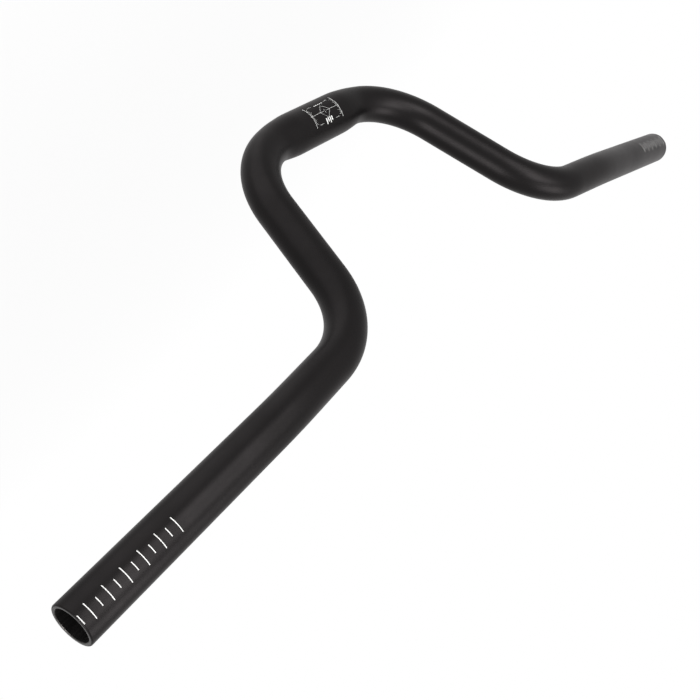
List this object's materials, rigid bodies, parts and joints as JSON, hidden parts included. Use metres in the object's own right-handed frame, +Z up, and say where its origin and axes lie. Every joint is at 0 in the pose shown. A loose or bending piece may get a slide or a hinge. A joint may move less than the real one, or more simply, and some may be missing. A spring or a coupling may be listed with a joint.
{
  "type": "mountain bike handlebar",
  "caption": "High-rise handlebar bent from one round tube, with a thicker stem seat in the middle, swept grips and open ends.",
  "frame": {"origin": "middle of the stem seat, on its axis", "axes": "+X along the stem seat to the rider's right hand end, +Y forwards, away from the backswept grips, +Z up, the way the bar rises"},
  "size_m": [0.6404, 0.0564, 0.1577],
  "materials": {
    "black_tube": "satin black anodised or painted aluminium with small white printed marks"
  },
  "bodies": {
    "root": {"handlebar": "black_tube"}
  },
  "joints": []
}
